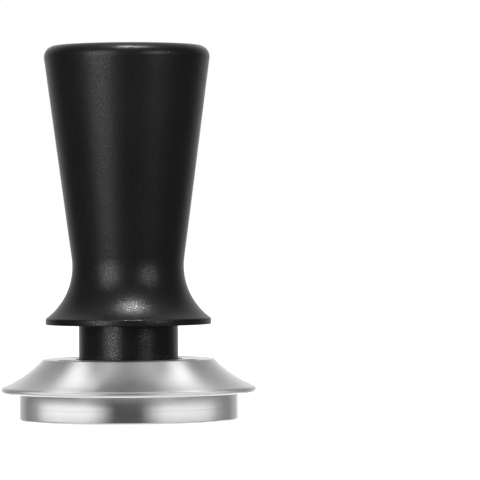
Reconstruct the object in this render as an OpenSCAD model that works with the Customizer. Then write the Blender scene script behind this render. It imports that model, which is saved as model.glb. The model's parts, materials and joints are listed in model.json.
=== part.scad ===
// Spring-loaded, self-levelling espresso tamper with a rippled base.
// The origin is the centre of the tamping face, and +Z runs up the handle's axis.

/* [Tamping base] */
// Diameter of the rippled disc and of the guide wall above it
base_d = 53.3; // [51:0.1:58.5]
// Thickness of the rippled disc
disc_t = 3.2; // [3:0.1:3.6]
// Rounding of the disc's lower edge
disc_round = 0.5; // [0.2:0.1:0.8]
// Number of concentric ripples in the tamping face
ripple_count = 16; // [8:1:18]
// Depth of one ripple
ripple_depth = 0.35; // [0.15:0.05:0.45]

/* [Levelling plate] */
// How far the flange stands out past the guide wall
flange_overhang = 4.4; // [3.5:0.1:5.5]
// Height of the flange's flat underside, which rests on the basket's rim
seat_z = 6.65; // [6.1:0.05:6.8]
// Height of the plate's flat top
plateau_z = 14.8; // [14.3:0.1:14.8]
// Radius of the plate's flat top
plateau_r = 20.6; // [20:0.1:21]
// Radius of the hollow curve between the flat top and the flange's nose
cone_r = 27; // [26:0.5:36]
// How far the plate rises on the stem
plate_travel = 4; // [3:0.1:4]

/* [Handle] */
// Height of the whole tamper
total_h = 91.1; // [90:0.1:100]
// Height of the lip's underside, at rest
lip_z = 23.2; // [23.1:0.1:23.3]
// Diameter of the lip
lip_d = 40.3; // [40:0.1:41]
// Diameter of the waist
waist_d = 27.2; // [27:0.1:29]
// Height of the waist
waist_z = 37.4; // [37.4:0.1:38.4]
// Radius of the flare between the waist and the lip
flare_r = 15.66; // [15.2:0.02:15.8]
// Half angle of the long taper above the waist
taper = 7.55; // [6:0.05:8]
// Rounding of the top edge
top_round = 2.8; // [1:0.1:4]
// How far the handle goes down on the stem
press_travel = 4; // [2:0.1:4]

/* [Stem and main spring] */
// Outer diameter of the stem
stem_d = 24.2; // [24:0.1:24.3]
// Diameter of the centre rod
rod_d = 8; // [7:0.5:8]
// Outer diameter of the main spring
main_spring_d = 18; // [17.5:0.1:18.4]
// Wire diameter of the main spring
main_wire_d = 2.2; // [1.6:0.1:2.2]
// Turns of the main spring that work, besides a closed one at each end
main_turns = 6; // [4:1:7]

/* [Levelling screws and springs] */
// Radius of the circle that the three shoulder screws stand on
screw_circle_r = 17.3; // [17:0.1:17.6]
// Diameter of a shoulder screw's head
screw_head_d = 3.1; // [2.9:0.1:3.2]
// Wire diameter of a levelling spring
small_wire_d = 0.3; // [0.2:0.05:0.3]

/* [Hidden] */
$fn = 128;

eps = 0.01;        // overshoot of a cutter past the face that it opens
run = 0.03;        // radial clearance of a running fit
steel = "silver";
black = [0.16, 0.16, 0.17];
polymer = [0.10, 0.10, 0.11];

// Ripples: round grooves with a narrow flat crest between neighbours
base_r = base_d / 2;
first_ripple_r = 2.1;
last_ripple_r = base_r - 1.6;
ripple_pitch = (last_ripple_r - first_ripple_r) / (ripple_count - 1);
crest_w = 0.25;
groove_half = (ripple_pitch - crest_w) / 2;
groove_r = (groove_half * groove_half + ripple_depth * ripple_depth) / (2 * ripple_depth);
seam_bevel = 0.15;

// Threaded hub that screws into the foot of the stem
hub_r = 10;
oring_r = 0.49;
oring_seat_r = 11.2;
oring_seat_h = 1;

// Stem, and the bore that it runs in
stem_r = stem_d / 2;
stem_bore_r = hub_r;
floor_z = 20;
floor_top = 24;
stem_top = 40;
guide_z = [35, 39];
guide_in_r = 11.3;
handle_bore_r = 12.3;
handle_bore_top = stem_top + press_travel + 0.6;

// Centre rod, its floor bush and what is fastened to its lower end
rod_r = rod_d / 2;
rod_bottom = 19;
rod_top = 83;
bush_out_r = 6;
bush_flange_r = 6.6;
seat_top = 25;
washer_r = 8;
washer_z = 17.8;
lock_washer_z = 16.9;
screw_r = 2.5;
screw_top = 31;
screw_head_r = 4.25;
screw_head_h = 3.5;
screw_socket = 3;
hub_clearance = 0.7;
hub_top = lock_washer_z - screw_head_h - press_travel - hub_clearance;

// Main spring and the seats that hold its ends
main_spring_r = (main_spring_d - main_wire_d) / 2;
spring_top = 70;
cap_top = 72;
roof_z = 73;
seat_r = 9.8;
cap_r = 9.2;
spring_bore_r = 9.6;

// Handle's mouth: bush and wiper ring
mouth_r = 13.5;
mouth_top = 31;
wiper_z = [23.4, 24.9];

// Levelling plate and the screws that hold it down on three springs
nose_r = 0.75;
edge_r = 0.6;
plate_bore_r = 13.2;
counterbore_r = 1.8;
web_top = 5.2;
web_hole_r = 1.25;
shoulder_r = 1;
thread_r = 0.8;
thread_bottom = 1.3;
small_spring_closed = 2.7;
head_z = web_top + plate_travel + small_spring_closed;
head_top = head_z + 1.5;
head_socket = 1.3;
small_spring_r = 1.35;
small_turns = 4;

// A polyline along an arc
function arc(centre, r, from, to, steps = 12) = [
    for (i = [0:steps])
        let (a = from + (to - from) * i / steps)
        centre + r * [cos(a), sin(a)]
];

// The point at distance ra from a and rb from b, to the right of the way from a to b
function meet(a, ra, b, rb) =
    let (d = norm(b - a), u = (b - a) / d, x = (d * d + ra * ra - rb * rb) / (2 * d))
    a + x * u + sqrt(ra * ra - x * x) * [u[1], -u[0]];

// The direction from a to b, in degrees
function heading(a, b) = atan2(b[1] - a[1], b[0] - a[0]);

module ring(r_in, r_out, z0, z1) {
    translate([0, 0, z0])
        difference() {
            cylinder(r = r_out, h = z1 - z0);
            translate([0, 0, -eps]) cylinder(r = r_in, h = z1 - z0 + 2 * eps);
        }
}

module rod(r, z0, z1) {
    translate([0, 0, z0]) cylinder(r = r, h = z1 - z0);
}

module hex_hole(across_flats, z0, z1) {
    translate([0, 0, z0]) cylinder(r = across_flats / sqrt(3), h = z1 - z0, $fn = 6);
}

// Compression spring: round wire, one closed turn at each end, seated at z0 and z1
module spring(coil_r, wire_r, z0, z1, turns, per_turn, sides) {
    closed = 2.12 * wire_r;
    low = z0 + wire_r;
    rise = z1 - z0 - 2 * wire_r - 2 * closed;
    n = (turns + 2) * per_turn;
    height = function (t)
        t < 1 ? low + t * closed
        : t > turns + 1 ? z1 - wire_r - (turns + 2 - t) * closed
        : low + closed + (t - 1) * rise / turns;
    points = [
        for (i = [0:n], j = [0:sides - 1])
            let (t = i / per_turn, q = 360 * j / sides, r = coil_r + wire_r * cos(q))
            [r * cos(360 * t), r * sin(360 * t), height(t) + wire_r * sin(q)]
    ];
    skin = [
        for (i = [0:n - 1], j = [0:sides - 1])
            let (k = (j + 1) % sides, a = i * sides, b = a + sides)
            each [[a + j, a + k, b + k], [a + j, b + k, b + j]]
    ];
    first_cap = [[for (j = [sides - 1:-1:0]) j]];
    last_cap = [[for (j = [0:sides - 1]) n * sides + j]];
    polyhedron(points = points, faces = concat(skin, first_cap, last_cap));
}

module at_shoulder_screws() {
    for (a = [-60, 60, 180])
        rotate([0, 0, a]) translate([0, -screw_circle_r, 0]) children();
}

// Rippled disc with the threaded hub, and three tapped holes in its top
module ripple_base() {
    corner = [base_r - disc_round, disc_round];
    color(steel) difference() {
        union() {
            rotate_extrude() difference() {
                polygon(concat(
                    [[0, 0]],
                    arc(corner, disc_round, -90, 0, 6),
                    [[base_r, disc_t - seam_bevel], [base_r - seam_bevel, disc_t], [0, disc_t]]
                ));
                for (i = [0:ripple_count - 1])
                    translate([first_ripple_r + i * ripple_pitch, ripple_depth - groove_r])
                        circle(r = groove_r);
            }
            rod(hub_r, disc_t - eps, hub_top);
        }
        at_shoulder_screws() rod(thread_r, thread_bottom, disc_t + eps);
    }
}

// Ring that seals the hub's thread and keeps it from working loose
module hub_oring() {
    color(polymer) translate([0, 0, disc_t + oring_seat_h / 2])
        rotate_extrude() translate([(hub_r + oring_seat_r) / 2, 0]) circle(r = oring_r, $fn = 48);
}

// Tube with an inner floor, on which the main spring stands
module stem() {
    foot = 0.3;
    crown = 0.5;
    color(black) difference() {
        rotate_extrude() polygon(concat(
            [[0, disc_t]],
            arc([stem_r - foot, disc_t + foot], foot, -90, 0, 6),
            [[stem_r, stem_top - crown], [stem_r - crown, stem_top], [0, stem_top]]
        ));
        rod(stem_bore_r, disc_t - eps, floor_z);
        rod(oring_seat_r, disc_t - eps, disc_t + oring_seat_h);
        rod(bush_out_r, floor_z - eps, floor_top + eps);
        rod(stem_bore_r, floor_top, stem_top + eps);
        ring(guide_in_r, stem_r + 1, guide_z[0], guide_z[1]);
    }
}

// Split slide ring near the top of the stem, which runs in the handle's bore
module stem_guide_ring() {
    gap = 0.8;
    color(polymer) difference() {
        ring(guide_in_r, handle_bore_r - run, guide_z[0], guide_z[1]);
        translate([0, -gap / 2, guide_z[0] - 1]) cube([stem_d, gap, guide_z[1] - guide_z[0] + 2]);
    }
}

// Flanged slide bush in the stem's floor, which guides the centre rod
module stem_floor_bush() {
    color(polymer) difference() {
        union() {
            rod(bush_out_r, floor_z, floor_top);
            rod(bush_flange_r, floor_top, seat_top);
        }
        rod(rod_r + run, floor_z - eps, seat_top + eps);
    }
}

module lower_spring_seat() {
    color(steel) ring(bush_flange_r + 0.1, seat_r, floor_top, seat_top);
}

module main_spring() {
    color(steel)
        spring(main_spring_r, main_wire_d / 2, seat_top, spring_top, main_turns, 24, 12);
}

// Three screws that stand in the disc; their heads hold the levelling springs down
module shoulder_screws() {
    socket_h = 0.8;
    color(steel) at_shoulder_screws() difference() {
        union() {
            rod(thread_r, thread_bottom, disc_t);
            rod(shoulder_r, disc_t, head_z);
            rod(screw_head_d / 2, head_z, head_top);
        }
        hex_hole(head_socket, head_top - socket_h, head_top + eps);
    }
}

module levelling_springs() {
    color(steel) at_shoulder_screws()
        spring(small_spring_r, small_wire_d / 2, web_top, head_z, small_turns, 16, 8);
}

// Flanged plate that slides on the stem; its underside meets the basket's rim
module levelling_plate() {
    nose = [base_r + flange_overhang - nose_r, seat_z + nose_r];
    edge = [plateau_r, plateau_z - edge_r];
    hollow = meet(nose, cone_r + nose_r, edge, cone_r + edge_r);
    color(steel) difference() {
        rotate_extrude() polygon(concat(
            [
                [plate_bore_r, disc_t],
                [base_r - seam_bevel, disc_t],
                [base_r, disc_t + seam_bevel],
                [base_r, seat_z]
            ],
            arc(nose, nose_r, -90, heading(nose, hollow), 10),
            arc(hollow, cone_r, heading(hollow, nose), heading(hollow, edge), 16),
            arc(edge, edge_r, heading(edge, hollow), 90, 4),
            [[plate_bore_r, plateau_z]]
        ));
        at_shoulder_screws() {
            rod(web_hole_r, disc_t - eps, web_top + eps);
            rod(counterbore_r, web_top, plateau_z + eps);
        }
    }
}

module plate_bush() {
    color(polymer) ring(stem_r + run, plate_bore_r, disc_t + 1, plateau_z - 1.7);
}

module plate_wiper_ring() {
    color(polymer) ring(stem_r + run, plate_bore_r, plateau_z - 1.5, plateau_z - 0.15);
}

// Cap on the main spring, with a spigot that centres the top turn
module upper_spring_seat() {
    spigot_h = 3;
    spigot_r = main_spring_r - main_wire_d / 2 - 0.3;
    color(steel) difference() {
        union() {
            rod(spigot_r, spring_top - spigot_h, spring_top);
            rod(cap_r, spring_top, cap_top);
        }
        rod(rod_r + run, spring_top - spigot_h - eps, cap_top + eps);
    }
}

module thrust_washer() {
    color(polymer) ring(rod_r + run, cap_r, cap_top, roof_z);
}

// Outside of the handle: top edge, long taper, waist, flare and lip
function handle_outline() =
    let (
        lip_r = lip_d / 2,
        lip_round = 0.2,
        lip_edge = 0.5,
        lip_core_r = lip_r - lip_edge,
        flare = [waist_d / 2 + flare_r, waist_z],
        lip_drop = sqrt(pow(flare_r + lip_edge, 2) - pow(flare[0] - lip_core_r, 2)),
        taper_foot = flare + flare_r * [-cos(taper), sin(taper)],
        crown_z = total_h - top_round,
        crown_r = taper_foot[0] + (crown_z - taper_foot[1]) * tan(taper) - top_round / cos(taper),
        lip_top = [lip_core_r, waist_z - lip_drop]
    )
    concat(
        [[0, lip_z]],
        arc([lip_r - lip_round, lip_z + lip_round], lip_round, -90, 0, 4),
        arc(lip_top, lip_edge, 0, heading(lip_top, flare), 5),
        arc(flare, flare_r, 360 + heading(flare, lip_top), 180 - taper, 20),
        arc([crown_r, crown_z], top_round, -taper, 90, 10),
        [[0, total_h]]
    );

module handle() {
    color(black) difference() {
        rotate_extrude() polygon(handle_outline());
        rod(mouth_r, lip_z - eps, mouth_top);
        rod(handle_bore_r, mouth_top - eps, handle_bore_top);
        rod(spring_bore_r, stem_top, roof_z);
        rod(rod_r, roof_z - eps, rod_top);
    }
}

module handle_bush() {
    color(polymer) ring(stem_r + run, mouth_r, wiper_z[1] + 0.2, mouth_top);
}

module handle_wiper_ring() {
    color(polymer) ring(stem_r + run, mouth_r, wiper_z[0], wiper_z[1]);
}

// Rod that screws into the handle's roof and runs through the stem's floor
module centre_rod() {
    color(steel) difference() {
        rod(rod_r, rod_bottom, rod_top);
        rod(screw_r, rod_bottom - eps, screw_top);
    }
}

module stop_bumper() {
    color(polymer) ring(rod_r, washer_r, rod_bottom, floor_z);
}

module retaining_washer() {
    color(steel) ring(screw_r + 0.15, washer_r, washer_z, rod_bottom);
}

// Split spring washer under the retaining screw's head
module lock_washer() {
    slit = 0.5;
    color(steel) difference() {
        ring(screw_r + 0.1, screw_head_r, lock_washer_z, washer_z);
        translate([0, -slit / 2, lock_washer_z - 1]) cube([screw_head_r + 1, slit, 3]);
    }
}

module retaining_screw() {
    socket_h = 2;
    head_bottom = lock_washer_z - screw_head_h;
    color(steel) difference() {
        union() {
            rod(screw_head_r, head_bottom, lock_washer_z);
            rod(screw_r, lock_washer_z, screw_top);
        }
        hex_hole(screw_socket, head_bottom - eps, head_bottom + socket_h);
    }
}

ripple_base();
hub_oring();
stem();
stem_guide_ring();
stem_floor_bush();
lower_spring_seat();
main_spring();
shoulder_screws();
levelling_springs();
levelling_plate();
plate_bush();
plate_wiper_ring();
upper_spring_seat();
thrust_washer();
handle();
handle_bush();
handle_wiper_ring();
centre_rod();
stop_bumper();
retaining_washer();
lock_washer();
retaining_screw();
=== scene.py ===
"""Looks of the espresso tamper: turned steel base and plate, satin black handle and stem.

Outlines are in millimetres, as (radius, height) points, and go to Blender's metres in lathe().
"""

import json
import math

import bmesh
import bpy
from mathutils import Matrix, Vector

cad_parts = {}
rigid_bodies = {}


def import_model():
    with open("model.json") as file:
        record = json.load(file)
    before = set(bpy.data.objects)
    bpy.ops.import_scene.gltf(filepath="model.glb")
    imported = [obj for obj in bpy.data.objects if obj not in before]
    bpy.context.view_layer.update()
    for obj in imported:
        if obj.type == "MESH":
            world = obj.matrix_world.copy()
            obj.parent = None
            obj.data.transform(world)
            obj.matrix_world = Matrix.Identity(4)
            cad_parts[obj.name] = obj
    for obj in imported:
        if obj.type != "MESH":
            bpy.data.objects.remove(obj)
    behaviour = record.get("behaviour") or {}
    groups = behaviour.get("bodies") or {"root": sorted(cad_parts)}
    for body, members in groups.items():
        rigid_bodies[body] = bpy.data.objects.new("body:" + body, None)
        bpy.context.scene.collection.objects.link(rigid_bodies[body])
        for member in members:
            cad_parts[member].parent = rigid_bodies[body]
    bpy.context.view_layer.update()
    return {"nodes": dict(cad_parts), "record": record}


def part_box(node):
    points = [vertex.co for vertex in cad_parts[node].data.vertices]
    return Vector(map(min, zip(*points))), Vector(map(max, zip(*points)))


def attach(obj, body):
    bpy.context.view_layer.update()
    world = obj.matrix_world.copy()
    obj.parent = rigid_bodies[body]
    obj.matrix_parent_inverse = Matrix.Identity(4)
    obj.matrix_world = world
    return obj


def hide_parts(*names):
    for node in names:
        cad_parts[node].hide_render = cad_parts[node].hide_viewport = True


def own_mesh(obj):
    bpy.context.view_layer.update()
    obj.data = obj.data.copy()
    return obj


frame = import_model()

MM = 0.001
TURN = 2 * math.pi
ROUND = 192  # segments round a turned piece that shows


# ---------------------------------------------------------------- sizes, in millimetres


def low_mm(node):
    return [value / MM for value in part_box(node)[0]]


def high_mm(node):
    return [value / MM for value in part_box(node)[1]]


TOTAL_H = high_mm("handle")[2]
LIP_Z = low_mm("handle")[2]
LIP_R = high_mm("handle")[0]
WAIST_R = 13.6
WAIST_Z = 37.4
FLARE_R = 15.66
TAPER = math.radians(7.55)
TOP_ROUND = 2.8
LIP_ROUND = 0.2
LIP_EDGE = 0.5  # rounding between the flare and the lip

STEM_R = high_mm("stem")[0]
STEM_TOP = high_mm("stem")[2]
STEM_BORE_R = 10.0
STEM_FLOOR = (20.0, 24.0)
GUIDE_Z = (low_mm("stem_guide_ring")[2], high_mm("stem_guide_ring")[2])
GUIDE_IN_R = 11.3
FLOOR_HOLE_R = 6.0

BASE_R = high_mm("ripple_base")[0]
HUB_TOP = high_mm("ripple_base")[2]
HUB_R = 10.0
DISC_T = low_mm("levelling_plate")[2]
DISC_ROUND = 0.55
RIPPLES = 16
FIRST_RIPPLE_R = 2.1
LAST_RIPPLE_R = BASE_R - 1.6
RIPPLE_DEPTH = 0.35
SEAM_BEVEL = 0.02

FLANGE_R = high_mm("levelling_plate")[0]
PLATEAU_Z = high_mm("levelling_plate")[2]
PLATEAU_R = 20.6
SEAT_Z = 6.65
NOSE_R = 0.75
EDGE_R = 0.6
CONE_R = 27.0
PLATE_BORE_R = 13.2
SCREW_CIRCLE_R = 17.3
COUNTERBORE_R = 1.8
WEB_TOP = 5.2
WEB_HOLE_R = 1.25
SCREW_AZIMUTHS = (-60, 60, 180)  # degrees from the front

HANDLE_BORE_R = 12.3
MOUTH_R = 13.5
MOUTH_TOP = high_mm("handle_bush")[2]
SPRING_BORE_R = 9.6
BORE_SHOULDER_Z = 44.6
ROOF_Z = high_mm("thrust_washer")[2]
ROD_R = 4.0
ROD_TOP = high_mm("centre_rod")[2]


# ---------------------------------------------------------------- outlines


def arc(centre, radius, start, end, steps=12):
    """Points on an arc, with the angles in radians."""
    angles = [start + (end - start) * i / steps for i in range(steps + 1)]
    return [(centre[0] + radius * math.cos(a), centre[1] + radius * math.sin(a)) for a in angles]


def heading(a, b):
    return math.atan2(b[1] - a[1], b[0] - a[0])


def meet(a, reach_a, b, reach_b):
    """The point at reach_a from a and reach_b from b, to the right of the way from a to b."""
    dx, dy = b[0] - a[0], b[1] - a[1]
    d = math.hypot(dx, dy)
    along = (d * d + reach_a**2 - reach_b**2) / (2 * d)
    off = math.sqrt(reach_a**2 - along**2)
    return (a[0] + (dx * along + dy * off) / d, a[1] + (dy * along - dx * off) / d)


def rounded(corners, radius, steps=3, closed=True):
    """A polygon's outline with each corner rounded, and a pole on the axis left as it is."""
    points, n = [], len(corners)
    for i, corner in enumerate(corners):
        before, after = Vector(corners[i - 1]), Vector(corners[(i + 1) % n])
        here = Vector(corner)
        if corner[0] == 0 or (not closed and i in (0, n - 1)):
            points.append(tuple(corner))
            continue
        back, on = before - here, after - here
        cut = min(radius, 0.45 * back.length, 0.45 * on.length)
        a, b = here + back.normalized() * cut, here + on.normalized() * cut
        for k in range(steps + 1):
            t = k / steps
            p = a * (1 - t) ** 2 + here * 2 * t * (1 - t) + b * t * t
            points.append((p.x, p.y))
    return points


# ---------------------------------------------------------------- mesh builders


def new_object(name, mesh):
    piece = bpy.data.objects.new(name, mesh)
    bpy.context.scene.collection.objects.link(piece)
    return piece


def finish_mesh(mesh, sharp_degrees=35):
    for face in mesh.polygons:
        face.use_smooth = True
    mesh.set_sharp_from_angle(angle=math.radians(sharp_degrees))
    mesh.update()


def lathe(name, outline, segments=ROUND, sharp_degrees=35):
    """Turns a closed outline of (radius, height) points, counter-clockwise, into a solid."""
    mesh = bmesh.new()
    angles = [TURN * k / segments for k in range(segments)]
    rings = []
    for r, z in outline:
        if r < 1e-6:
            rings.append([mesh.verts.new((0, 0, z * MM))])
            continue
        rings.append(
            [mesh.verts.new((r * MM * math.cos(a), r * MM * math.sin(a), z * MM)) for a in angles]
        )
    for i, low in enumerate(rings):
        high = rings[(i + 1) % len(rings)]
        if len(low) == 1 and len(high) == 1:
            continue
        for k in range(segments):
            m = (k + 1) % segments
            corners = [low[k % len(low)], low[m % len(low)], high[m % len(high)], high[k % len(high)]]
            mesh.faces.new(list(dict.fromkeys(corners)))
    bmesh.ops.recalc_face_normals(mesh, faces=mesh.faces)
    data = bpy.data.meshes.new(name)
    mesh.to_mesh(data)
    mesh.free()
    finish_mesh(data, sharp_degrees)
    return new_object(name, data)


def joined(name, pieces):
    """One object out of several, whose meshes stay separate solids."""
    mesh = bmesh.new()
    for piece in pieces:
        mesh.from_mesh(piece.data)
    data = bpy.data.meshes.new(name)
    mesh.to_mesh(data)
    mesh.free()
    for piece in pieces:
        bpy.data.objects.remove(piece)
    finish_mesh(data)
    return new_object(name, data)


def cut(piece, cutters):
    """Takes the cutters out of a piece, for good."""
    for cutter in cutters:
        modifier = piece.modifiers.new("cut", "BOOLEAN")
        modifier.object = cutter
        modifier.operation = "DIFFERENCE"
        modifier.solver = "EXACT"
    bpy.context.view_layer.update()
    shape = piece.evaluated_get(bpy.context.evaluated_depsgraph_get())
    mesh = bpy.data.meshes.new_from_object(shape)
    piece.modifiers.clear()
    piece.data = mesh
    for cutter in cutters:
        bpy.data.objects.remove(cutter)
    finish_mesh(mesh)
    return piece


def moved(piece, x=0.0, y=0.0, angle=0.0):
    """Moves a piece's own mesh, in millimetres, after a turn about its axis."""
    piece.data.transform(Matrix.Translation((x * MM, y * MM, 0)) @ Matrix.Rotation(angle, 4, "Z"))
    return piece


def screw_places():
    for azimuth in SCREW_AZIMUTHS:
        a = math.radians(azimuth)
        yield SCREW_CIRCLE_R * math.sin(a), -SCREW_CIRCLE_R * math.cos(a), a


def prism(name, across_flats, z0, z1):
    """Hexagonal cutter for a key socket."""
    return lathe(
        name,
        [(0, z0), (across_flats / math.sqrt(3), z0), (across_flats / math.sqrt(3), z1), (0, z1)],
        segments=6,
    )


def helix(name, coil_r, wire_r, z0, z1, turns, per_turn=48, sides=16):
    """Compression spring whose closed end turns are ground flat at z0 and z1."""
    total = turns + 2
    closed = 2.1 * wire_r
    grind = 0.45 * wire_r  # how deep the grinding goes into the end turns
    dead_turns, easing = 0.75, 0.5  # turns that stay closed, and turns in which the pitch opens

    def blend(x):
        x = min(max(x, 0.0), 1.0)
        return x * x * (3 - 2 * x)

    steps = int(total * per_turn)
    shares = []  # of the open pitch that is added to the closed one, at each step
    for i in range(steps + 1):
        t = i / per_turn
        opening = blend((t - dead_turns) / easing)
        closing = blend((total - dead_turns - t) / easing)
        shares.append(opening * closing)
    # The open pitch is whatever brings the last turn to z1
    span = z1 - z0 - 2 * (wire_r - grind)
    open_pitch = (span - total * closed) / (sum(shares) / per_turn)
    z = z0 + wire_r - grind
    mesh = bmesh.new()
    rings = []
    for i in range(steps + 1):
        angle = TURN * i / per_turn
        ring = []
        for k in range(sides):
            q = TURN * k / sides
            r = coil_r + wire_r * math.cos(q)
            height = min(max(z + wire_r * math.sin(q), z0), z1)
            ring.append(
                mesh.verts.new((r * MM * math.cos(angle), r * MM * math.sin(angle), height * MM))
            )
        rings.append(ring)
        z += (closed + shares[i] * open_pitch) / per_turn
    for low, high in zip(rings, rings[1:]):
        for k in range(sides):
            m = (k + 1) % sides
            mesh.faces.new((low[k], low[m], high[m], high[k]))
    mesh.faces.new(rings[0])
    mesh.faces.new(list(reversed(rings[-1])))
    bmesh.ops.recalc_face_normals(mesh, faces=mesh.faces)
    data = bpy.data.meshes.new(name)
    mesh.to_mesh(data)
    mesh.free()
    finish_mesh(data, 50)
    return new_object(name, data)


# ---------------------------------------------------------------- materials


class Graph:
    """Short names for building a node tree."""

    def __init__(self, tree):
        self.tree = tree

    def add(self, kind, **settings):
        node = self.tree.nodes.new(kind)
        for key, value in settings.items():
            setattr(node, key, value)
        return node

    def link(self, source, target):
        self.tree.links.new(source, target)

    def math(self, operation, a, b=0.0):
        node = self.add("ShaderNodeMath", operation=operation)
        for socket, value in zip(node.inputs, (a, b)):
            if isinstance(value, (int, float)):
                socket.default_value = value
            else:
                self.link(value, socket)
        return node.outputs[0]

    def split(self, vector):
        node = self.add("ShaderNodeSeparateXYZ")
        self.link(vector, node.inputs["Vector"])
        return node.outputs

    def ramp(self, value, low, high, start=0.0, end=1.0, smooth=False):
        """Maps value, from start to end, to low to high."""
        kind = "SMOOTHSTEP" if smooth else "LINEAR"
        node = self.add("ShaderNodeMapRange", interpolation_type=kind)
        for socket, number in zip(node.inputs[1:5], (start, end, low, high)):
            socket.default_value = number
        self.link(value, node.inputs["Value"])
        return node.outputs["Result"]


class Finish(Graph):
    """One material's nodes round its Principled shader."""

    def __init__(self, name):
        self.material = bpy.data.materials.new(name)
        self.material.use_nodes = True
        super().__init__(self.material.node_tree)
        self.shader = self.tree.nodes["Principled BSDF"]

    def set(self, **values):
        for key, value in values.items():
            self.shader.inputs[key.replace("_", " ")].default_value = value

    def position(self):
        return self.add("ShaderNodeTexCoord").outputs["Object"]

    def noise(self, vector, scale, detail=4.0, roughness=0.55):
        node = self.add("ShaderNodeTexNoise")
        node.inputs["Scale"].default_value = scale
        node.inputs["Detail"].default_value = detail
        node.inputs["Roughness"].default_value = roughness
        self.link(vector, node.inputs["Vector"])
        return node.outputs["Fac"]

    def colours(self, value, dark, light):
        node = self.add("ShaderNodeMix", data_type="RGBA")
        factor, first, second = (node.inputs[i] for i in (0, 6, 7))
        first.default_value = (*dark, 1)
        second.default_value = (*light, 1)
        self.link(value, factor)
        return node.outputs[2]

    def dusted(self, colour, vector, cells=700, share=0.015, dust=0.22):
        """Puts a pale speck in a small share of the cells, each a fraction of a cell wide."""
        cell = self.add("ShaderNodeTexVoronoi")
        cell.inputs["Scale"].default_value = cells
        self.link(vector, cell.inputs["Vector"])
        chosen = self.math("GREATER_THAN", self.split(cell.outputs["Color"])[0], 1 - share)
        near = self.ramp(cell.outputs["Distance"], 1.0, 0.0, 0.05, 0.13)
        node = self.add("ShaderNodeMix", data_type="RGBA")
        factor, first, second = (node.inputs[i] for i in (0, 6, 7))
        self.link(self.math("MULTIPLY", chosen, near), factor)
        self.link(colour, first)
        second.default_value = (dust, dust, dust, 1)
        return node.outputs[2]

    def bump(self, height, strength, distance_mm):
        node = self.add("ShaderNodeBump")
        node.inputs["Strength"].default_value = strength
        node.inputs["Distance"].default_value = distance_mm * MM
        self.link(height, node.inputs["Height"])
        self.link(node.outputs["Normal"], self.shader.inputs["Normal"])

    def turning_lines(self, scale, wander=0.002):
        """Noise that changes quickly along the outline and hardly at all round the axis."""
        x, y, z = self.split(self.position())
        squares = self.math("ADD", self.math("MULTIPLY", x, x), self.math("MULTIPLY", y, y))
        join = self.add("ShaderNodeCombineXYZ")
        self.link(self.math("SQRT", squares), join.inputs["X"])
        self.link(z, join.inputs["Y"])
        self.link(self.math("MULTIPLY", x, wander), join.inputs["Z"])
        return self.noise(join.outputs["Vector"], scale, detail=5.0, roughness=0.7)

    def radial_tangent(self):
        node = self.add("ShaderNodeTangent", direction_type="RADIAL", axis="Z")
        self.link(node.outputs["Tangent"], self.shader.inputs["Tangent"])


def turned_steel(name, dark, light, roughness, anisotropy, line_scale=9000, groove=0.0002, flank=None):
    """Stainless steel off the lathe: fine rings, small changes of tone, and a few faint smears.

    flank is a height and the extra roughness of the coarser cut above it.
    """
    change = 0.3  # half the height, in millimetres, over which the coarser cut begins
    n = Finish(name)
    lines = n.turning_lines(line_scale)
    broad = n.turning_lines(line_scale / 12)
    smear = n.noise(n.position(), 60, detail=3.0)
    tone = n.math("ADD", n.math("MULTIPLY", lines, 0.5), n.math("MULTIPLY", broad, 0.5))
    n.link(n.colours(n.ramp(tone, 0.0, 1.0, 0.3, 0.7), dark, light), n.shader.inputs["Base Color"])
    rough = n.math("ADD", n.ramp(lines, -0.04, 0.04, 0.3, 0.7), n.ramp(smear, -0.02, 0.03, 0.35, 0.65))
    if flank:
        height, extra = flank
        z = n.split(n.position())[2]
        coarse = n.ramp(z, 0.0, extra, (height - change) * MM, (height + change) * MM)
        rough = n.math("ADD", rough, coarse)
    n.link(n.math("ADD", rough, roughness), n.shader.inputs["Roughness"])
    n.set(Metallic=1.0, Anisotropic=anisotropy, Anisotropic_Rotation=0.25)
    n.radial_tangent()
    n.bump(lines, 0.5, groove)
    return n.material


def satin_black(name, dark, light, roughness, grain_scale=3400, grain=0.004):
    """Blasted and anodised aluminium: near black, with a fine grain and a few specks of dust."""
    n = Finish(name)
    where = n.position()
    grain_noise = n.noise(where, grain_scale, detail=3.0, roughness=0.65)
    cloud = n.noise(where, 45, detail=4.0)
    tone = n.math("ADD", n.math("MULTIPLY", grain_noise, 0.6), n.math("MULTIPLY", cloud, 0.4))
    coat = n.colours(n.ramp(tone, 0.0, 1.0, 0.3, 0.7), dark, light)
    n.link(n.dusted(coat, where), n.shader.inputs["Base Color"])
    rough = n.math("ADD", n.ramp(cloud, -0.03, 0.03, 0.3, 0.7), roughness)
    n.link(n.math("ADD", rough, n.ramp(grain_noise, -0.10, 0.10, 0.3, 0.7)), n.shader.inputs["Roughness"])
    n.set(Metallic=0.0, IOR=1.42)
    n.bump(grain_noise, 0.6, grain)
    return n.material


def moulded(name, dark, light, roughness, grain_scale=1500, grain=0.003):
    """Polymer or rubber: dull, with a soft mottle and a fine skin."""
    n = Finish(name)
    where = n.position()
    skin = n.noise(where, grain_scale, detail=4.0)
    mottle = n.noise(where, 180, detail=3.0)
    n.link(n.colours(n.ramp(mottle, 0.0, 1.0, 0.3, 0.7), dark, light), n.shader.inputs["Base Color"])
    n.link(n.ramp(skin, roughness - 0.06, roughness + 0.06, 0.3, 0.7), n.shader.inputs["Roughness"])
    n.bump(skin, 0.4, grain)
    return n.material


def grey(value, warmth=0.0):
    return (value * (1 + warmth), value, value * (1 - warmth))


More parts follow.
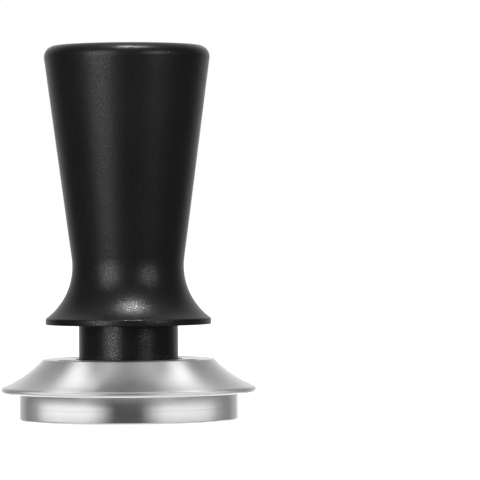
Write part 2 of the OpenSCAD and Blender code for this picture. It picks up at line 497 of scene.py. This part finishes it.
STEEL_BASE = turned_steel("turned_base_steel", grey(0.56), grey(0.60), 0.20, 0.85)
COARSER_FLANK = (SEAT_Z + 0.3, 0.13)
STEEL_PLATE = turned_steel(
    "turned_plate_steel", grey(0.56), grey(0.60), 0.20, 0.88, flank=COARSER_FLANK
)
STEEL_HARDWARE = turned_steel("hardware_steel", grey(0.42), grey(0.52), 0.30, 0.3)
STEEL_ROD = turned_steel("ground_rod_steel", grey(0.52), grey(0.62), 0.16, 0.5)
STEEL_SPRING = turned_steel("spring_steel", grey(0.30), grey(0.40), 0.34, 0.0, 4000)
BLACK_HANDLE = satin_black("satin_black_handle", grey(0.004), grey(0.007), 0.33, grain=0.045)
BLACK_STEM = satin_black("satin_black_stem", grey(0.005), grey(0.008), 0.30, grain=0.035)
POLYMER = moulded("bush_polymer", grey(0.012), grey(0.020), 0.45)
RUBBER = moulded("seal_rubber", grey(0.008), grey(0.014), 0.65)

SLOT_MATERIALS = {
    "base_steel": STEEL_BASE,
    "plate_steel": STEEL_PLATE,
    "hardware_steel": STEEL_HARDWARE,
    "rod_steel": STEEL_ROD,
    "spring_steel": STEEL_SPRING,
    "handle_black": BLACK_HANDLE,
    "stem_black": BLACK_STEM,
    "bush_polymer": POLYMER,
    "seal_rubber": RUBBER,
}


# ---------------------------------------------------------------- pieces


def place(piece, body, node, slot):
    """Puts a finished piece on its body, in the place of its CAD node."""
    piece.data.materials.clear()
    piece.data.materials.append(SLOT_MATERIALS[slot])
    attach(piece, body)
    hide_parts(node)
    return piece


def make_handle():
    flare = (WAIST_R + FLARE_R, WAIST_Z)
    edge_r = LIP_R - LIP_EDGE
    drop = math.sqrt((FLARE_R + LIP_EDGE) ** 2 - (flare[0] - edge_r) ** 2)
    lip_top = (edge_r, WAIST_Z - drop)
    foot = (flare[0] - FLARE_R * math.cos(TAPER), flare[1] + FLARE_R * math.sin(TAPER))
    crown_z = TOTAL_H - TOP_ROUND
    crown_r = foot[0] + (crown_z - foot[1]) * math.tan(TAPER) - TOP_ROUND / math.cos(TAPER)
    taper_top = (crown_r + TOP_ROUND * math.cos(TAPER), crown_z - TOP_ROUND * math.sin(TAPER))
    taper_steps = 12
    side = [
        tuple(a + (b - a) * i / taper_steps for a, b in zip(foot, taper_top))
        for i in range(1, taper_steps)
    ]
    bore = [
        (0, ROD_TOP),
        (ROD_R, ROD_TOP - 1.5),
        (ROD_R, ROOF_Z),
        (SPRING_BORE_R, ROOF_Z),
        (SPRING_BORE_R, BORE_SHOULDER_Z),
        (HANDLE_BORE_R, BORE_SHOULDER_Z),
        (HANDLE_BORE_R, MOUTH_TOP),
        (MOUTH_R, MOUTH_TOP),
        (MOUTH_R, LIP_Z),
    ]
    outline = rounded(bore, 0.25, closed=False)
    outline += [(MOUTH_R + 1.0, LIP_Z)]
    outline += arc((LIP_R - LIP_ROUND, LIP_Z + LIP_ROUND), LIP_ROUND, -math.pi / 2, 0, 6)
    outline += arc(lip_top, LIP_EDGE, 0, heading(lip_top, flare), 12)
    outline += arc(flare, FLARE_R, TURN + heading(flare, lip_top), math.pi - TAPER, 56)
    outline += side
    outline += arc((crown_r, crown_z), TOP_ROUND, -TAPER, math.pi / 2, 24)
    outline += [(crown_r * share, TOTAL_H) for share in (0.97, 0.7, 0.35, 0.0)]
    return place(lathe("handle_shell", outline), "grip", "handle", "handle_black")


def make_stem():
    foot, crown = 0.3, 0.5
    mouth = 1.2  # recess for the O-ring round the hub
    outline = [
        (STEM_BORE_R + mouth, DISC_T),
        *arc((STEM_R - foot, DISC_T + foot), foot, -math.pi / 2, 0, 6),
        (STEM_R, PLATEAU_Z + 1),
        (STEM_R, LIP_Z),
        (STEM_R, GUIDE_Z[0]),
        (GUIDE_IN_R, GUIDE_Z[0]),
        (GUIDE_IN_R, GUIDE_Z[1]),
        (STEM_R, GUIDE_Z[1]),
        *arc((STEM_R - crown, STEM_TOP - crown), crown, 0, math.pi / 2, 6),
        (STEM_BORE_R + 0.3, STEM_TOP),
        (STEM_BORE_R, STEM_TOP - 0.3),
        (STEM_BORE_R, STEM_FLOOR[1]),
        (FLOOR_HOLE_R, STEM_FLOOR[1]),
        (FLOOR_HOLE_R, STEM_FLOOR[0]),
        (STEM_BORE_R, STEM_FLOOR[0]),
        (STEM_BORE_R, DISC_T + 1),
        (STEM_BORE_R + mouth, DISC_T + 1),
    ]
    return place(lathe("stem_tube", outline), "base", "stem", "stem_black")


def make_ripple_base():
    pitch = (LAST_RIPPLE_R - FIRST_RIPPLE_R) / (RIPPLES - 1)
    per_ripple = 12
    hub_bevel = 0.6
    start = FIRST_RIPPLE_R - pitch / 2
    end = LAST_RIPPLE_R + pitch / 2
    ripples = []
    for i in range(RIPPLES * per_ripple + 1):
        phase = TURN * i / per_ripple
        r = start + pitch * i / per_ripple
        ripples.append((r, RIPPLE_DEPTH / 2 * (1 - math.cos(phase))))
    outline = [(0, 0), (start * 0.6, 0), *ripples, (end + 0.1, 0)]
    outline += arc((BASE_R - DISC_ROUND, DISC_ROUND), DISC_ROUND, -math.pi / 2, 0, 8)
    outline += [
        (BASE_R, DISC_T - SEAM_BEVEL - 0.6),
        (BASE_R, DISC_T - SEAM_BEVEL),
        (BASE_R - SEAM_BEVEL, DISC_T),
        (BASE_R - 1.5, DISC_T),
        (HUB_R, DISC_T),
        (HUB_R, HUB_TOP - hub_bevel),
        (HUB_R - hub_bevel, HUB_TOP),
        (0, HUB_TOP),
    ]
    return place(lathe("ripple_disc", outline, 256, 30), "base", "ripple_base", "base_steel")


def make_levelling_plate():
    nose = (FLANGE_R - NOSE_R, SEAT_Z + NOSE_R)
    edge = (PLATEAU_R, PLATEAU_Z - EDGE_R)
    hollow = meet(nose, CONE_R + NOSE_R, edge, CONE_R + EDGE_R)
    outline = [
        (PLATE_BORE_R, DISC_T),
        (BASE_R - 1.5, DISC_T),
        (BASE_R - SEAM_BEVEL, DISC_T),
        (BASE_R, DISC_T + SEAM_BEVEL),
        (BASE_R, DISC_T + SEAM_BEVEL + 0.5),
        (BASE_R, SEAT_Z - 0.2),
        (BASE_R + 0.05, SEAT_Z - 0.05),
        (BASE_R + 0.2, SEAT_Z),
        (nose[0] - 1, SEAT_Z),
    ]
    outline += arc(nose, NOSE_R, -math.pi / 2, heading(nose, hollow), 16)
    outline += arc(hollow, CONE_R, heading(hollow, nose), heading(hollow, edge), 40)[1:]
    outline += arc(edge, EDGE_R, heading(edge, hollow), math.pi / 2, 8)[1:]
    outline += [
        (PLATEAU_R - 0.3, PLATEAU_Z),
        (PLATE_BORE_R + 0.8, PLATEAU_Z),
        (PLATE_BORE_R + 0.2, PLATEAU_Z),
        (PLATE_BORE_R, PLATEAU_Z - 0.2),
    ]
    plate = lathe("levelling_flange", outline, 256)
    bevel = 0.12
    cutters = []
    for i, (x, y, turn) in enumerate(screw_places()):
        well = [
            (0, DISC_T - 1),
            (WEB_HOLE_R, DISC_T - 1),
            (WEB_HOLE_R, WEB_TOP),
            (COUNTERBORE_R, WEB_TOP),
            (COUNTERBORE_R, PLATEAU_Z - bevel),
            (COUNTERBORE_R + 2 * bevel, PLATEAU_Z + bevel),
            (0, PLATEAU_Z + bevel),
        ]
        cutters.append(moved(lathe(f"well_{i}", well, 48), x, y, turn))
    return place(cut(plate, cutters), "plate", "levelling_plate", "plate_steel")


def make_shoulder_screws():
    thread_r, shoulder_r, head_r = 0.8, 1.0, 1.55
    head_z, head_top = 11.9, high_mm("shoulder_screws")[2]
    bottom = low_mm("shoulder_screws")[2]
    key_flats, key_depth = 1.3, 0.8
    screws = []
    for i, (x, y, turn) in enumerate(screw_places()):
        body = [
            (0, bottom),
            (thread_r, bottom),
            (thread_r, DISC_T),
            (shoulder_r, DISC_T),
            (shoulder_r, head_z),
            (head_r, head_z),
            (head_r, head_top),
            (0, head_top),
        ]
        screw = lathe(f"screw_{i}", rounded(body, 0.12), 48)
        cut(screw, [prism(f"key_{i}", key_flats, head_top - key_depth, head_top + 0.5)])
        screws.append(moved(screw, x, y, turn))
    piece = joined("shoulder_screw_set", screws)
    return place(piece, "base", "shoulder_screws", "hardware_steel")


def make_levelling_springs():
    top, bottom = high_mm("levelling_springs")[2], low_mm("levelling_springs")[2]
    shape = {"coil_r": 1.35, "wire_r": 0.15, "z0": bottom, "z1": top, "turns": 4}
    springs = [
        moved(helix(f"coil_{i}", **shape, per_turn=32, sides=10), x, y, turn)
        for i, (x, y, turn) in enumerate(screw_places())
    ]
    piece = place(joined("levelling_spring_set", springs), "base", "levelling_springs", "spring_steel")
    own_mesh(piece)


def make_main_spring():
    bottom, top = low_mm("main_spring")[2], high_mm("main_spring")[2]
    shape = {"coil_r": 7.9, "wire_r": 1.1, "z0": bottom, "z1": top, "turns": 6}
    piece = helix("main_coil", **shape, per_turn=72, sides=20)
    place(piece, "base", "main_spring", "spring_steel")
    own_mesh(piece)


def finish_carried_nodes():
    """Gives every CAD node that still shows its procedural material."""
    slots = {entry["node"]: entry["material_slot"] for entry in frame["record"]["subparts"]}
    for node, piece in frame["nodes"].items():
        piece.data.materials.clear()
        piece.data.materials.append(SLOT_MATERIALS[slots[node]])


# ---------------------------------------------------------------- stage


def make_floor():
    """Pale, softly lit from below like a light table, so that the shadow stays faint."""
    bpy.ops.mesh.primitive_plane_add(size=12.0)
    floor = bpy.context.object
    floor.name = "floor"
    floor.visible_glossy = False
    floor.visible_shadow = False
    n = Finish("pale_floor")
    mottle = n.noise(n.position(), 8, detail=2.0)
    n.link(n.colours(mottle, grey(0.86), grey(0.90)), n.shader.inputs["Base Color"])
    n.set(Roughness=0.9, IOR=1.2, Emission_Color=(1, 1, 1, 1), Emission_Strength=0.8)
    floor.data.materials.append(n.material)


def make_camera():
    eye = Vector((0.02732, -0.886, 0.048))
    aim = Vector((0.02732, 0.0, 0.04355))
    lean = math.radians(-0.35)
    data = bpy.data.cameras.new("camera")
    data.lens = 272.6
    data.clip_start = 0.01
    camera = bpy.data.objects.new("camera", data)
    turn = (aim - eye).to_track_quat("-Z", "Y").to_matrix() @ Matrix.Rotation(lean, 3, "Z")
    camera.location = eye
    camera.rotation_euler = turn.to_euler()
    bpy.context.scene.collection.objects.link(camera)
    bpy.context.scene.camera = camera


BOX_DISTANCE = 0.9
# What each group's lights reach: light on the black handle isn't thrown on to the plate
BOUNCES = {"lit_steel": 12, "lit_black": 0}
# Softboxes: azimuth and elevation in degrees (0 is the camera's side, positive to the right), width
# and height in metres, radiance, the share of each half that fades out across and up, and the group
SOFTBOXES = (
    ("left_wall_box", -62, 10, 2.3, 0.80, 1.66, 0.80, 0.15, "steel"),
    ("right_wall_box", 61, 10, 2.2, 0.80, 1.52, 0.75, 0.15, "steel"),
    ("left_rim_box", -108, 5, 1.0, 0.9, 0.50, 1.00, 0.60, "steel"),
    ("right_rim_box", 108, 5, 1.0, 0.9, 0.50, 1.00, 0.60, "steel"),
    ("left_high_box", -138, 57, 0.5, 0.40, 3.0, 0.80, 0.80, "steel"),
    ("right_high_box", 138, 57, 0.5, 0.40, 3.0, 0.80, 0.80, "steel"),
    ("left_mid_box", -100, 54, 0.50, 0.40, 1.8, 0.80, 0.80, "steel"),
    ("right_mid_box", 100, 54, 0.50, 0.40, 1.9, 0.80, 0.80, "steel"),
    ("top_box", 180, 87, 1.0, 0.40, 2.0, 0.80, 0.80, "steel"),
    ("front_box", 0, 50, 2.6, 0.9, 0.50, 0.80, 0.60, "steel"),
    ("table_glow", 0, -90, 4.2, 4.2, 1.15, 0.40, 0.40, "steel"),
    ("left_strip", -37, 9, 0.80, 0.85, 4.5, 0.80, 0.60, "black"),
    ("right_strip", 44, 13, 0.62, 0.50, 4.2, 0.80, 0.60, "black"),
    ("overhead_box", 15, 73, 0.40, 0.16, 58.0, 0.70, 0.40, "black"),
)


def make_softbox(name, azimuth, elevation, width, height, radiance, fade, fade_up, group):
    """Area light that looks at the tamper and dims towards its edges, as a softbox does."""
    a, e = math.radians(azimuth), math.radians(elevation)
    way = Vector((math.sin(a) * math.cos(e), -math.cos(a) * math.cos(e), math.sin(e)))
    data = bpy.data.lights.new(name, "AREA")
    data.shape = "RECTANGLE"
    data.size, data.size_y = width, height
    data.energy = radiance * math.pi * width * height
    data.use_nodes = True
    g = Graph(data.node_tree)
    across, up, _ = g.split(g.add("ShaderNodeNewGeometry").outputs["Parametric"])
    strength = 1.0
    for place_on_box, share in ((across, fade), (up, fade_up)):
        off_centre = g.math("ABSOLUTE", g.math("SUBTRACT", place_on_box, 0.5))
        soft = g.ramp(off_centre, 1.0, 0.0, 0.5 * (1 - share), 0.5, smooth=True)
        strength = g.math("MULTIPLY", soft, strength)
    g.link(strength, g.tree.nodes["Emission"].inputs["Strength"])
    light = bpy.data.objects.new(name, data)
    light.location = Vector((0, 0, 0.045)) + way * BOX_DISTANCE
    light.rotation_euler = (-way).to_track_quat("-Z", "Y").to_euler()
    light.visible_camera = False
    light.light_linking.receiver_collection = group
    data.cycles.max_bounces = BOUNCES[group.name]
    data.cycles.use_multiple_importance_sampling = BOUNCES[group.name] > 0
    bpy.context.scene.collection.objects.link(light)


def make_softboxes():
    """Lights for the steel and lights for the black pieces, as a photographer flags them off."""
    groups = {}
    for group in ("steel", "black"):
        groups[group] = bpy.data.collections.new(f"lit_{group}")
    for piece in bpy.data.objects:
        if piece.type == "MESH" and piece.data.materials:
            name = piece.data.materials[0].name
            groups["steel" if "steel" in name else "black"].objects.link(piece)
    for *box, group in SOFTBOXES:
        make_softbox(*box, groups[group])


def make_studio():
    """Pale walls: light behind the tamper and overhead, dark on the camera's side."""
    world = bpy.data.worlds.new("studio")
    world.use_nodes = True
    bpy.context.scene.world = world
    g = Graph(world.node_tree)
    x, y, z = g.split(g.add("ShaderNodeTexCoord").outputs["Generated"])
    azimuth = g.math("MULTIPLY", g.math("ARCTAN2", x, g.math("MULTIPLY", y, -1.0)), 180 / math.pi)
    elevation = g.math("MULTIPLY", g.math("ARCSINE", z), 180 / math.pi)
    turn = g.math("ABSOLUTE", azimuth)
    behind = g.ramp(turn, 0.0, 0.50, 118, 150, smooth=True)
    above = g.ramp(elevation, 0.0, 0.30, 30, 75, smooth=True)
    low = g.ramp(g.math("ABSOLUTE", elevation), 0.5, 0.0, 18, 40, smooth=True)
    backdrop_glow = g.math("MULTIPLY", low, g.ramp(turn, 0.0, 1.0, 150, 172, smooth=True))
    light = 0.08  # what the dark side still gives
    for glow in (behind, above, backdrop_glow):
        light = g.math("ADD", light, glow)
    studio = g.tree.nodes["Background"]
    g.link(light, studio.inputs["Strength"])
    studio.inputs["Color"].default_value = (1, 1, 1, 1)
    backdrop = g.add("ShaderNodeBackground")
    backdrop.inputs["Color"].default_value = (1, 1, 1, 1)
    mix = g.add("ShaderNodeMixShader")
    g.link(g.add("ShaderNodeLightPath").outputs["Is Camera Ray"], mix.inputs["Fac"])
    g.link(studio.outputs["Background"], mix.inputs[1])
    g.link(backdrop.outputs["Background"], mix.inputs[2])
    g.link(mix.outputs["Shader"], g.tree.nodes["World Output"].inputs["Surface"])


make_camera()
make_studio()
make_floor()
finish_carried_nodes()
make_handle()
make_stem()
make_ripple_base()
make_levelling_plate()
make_shoulder_screws()
make_levelling_springs()
make_main_spring()
make_softboxes()

bpy.context.scene.view_settings.view_transform = "Standard"
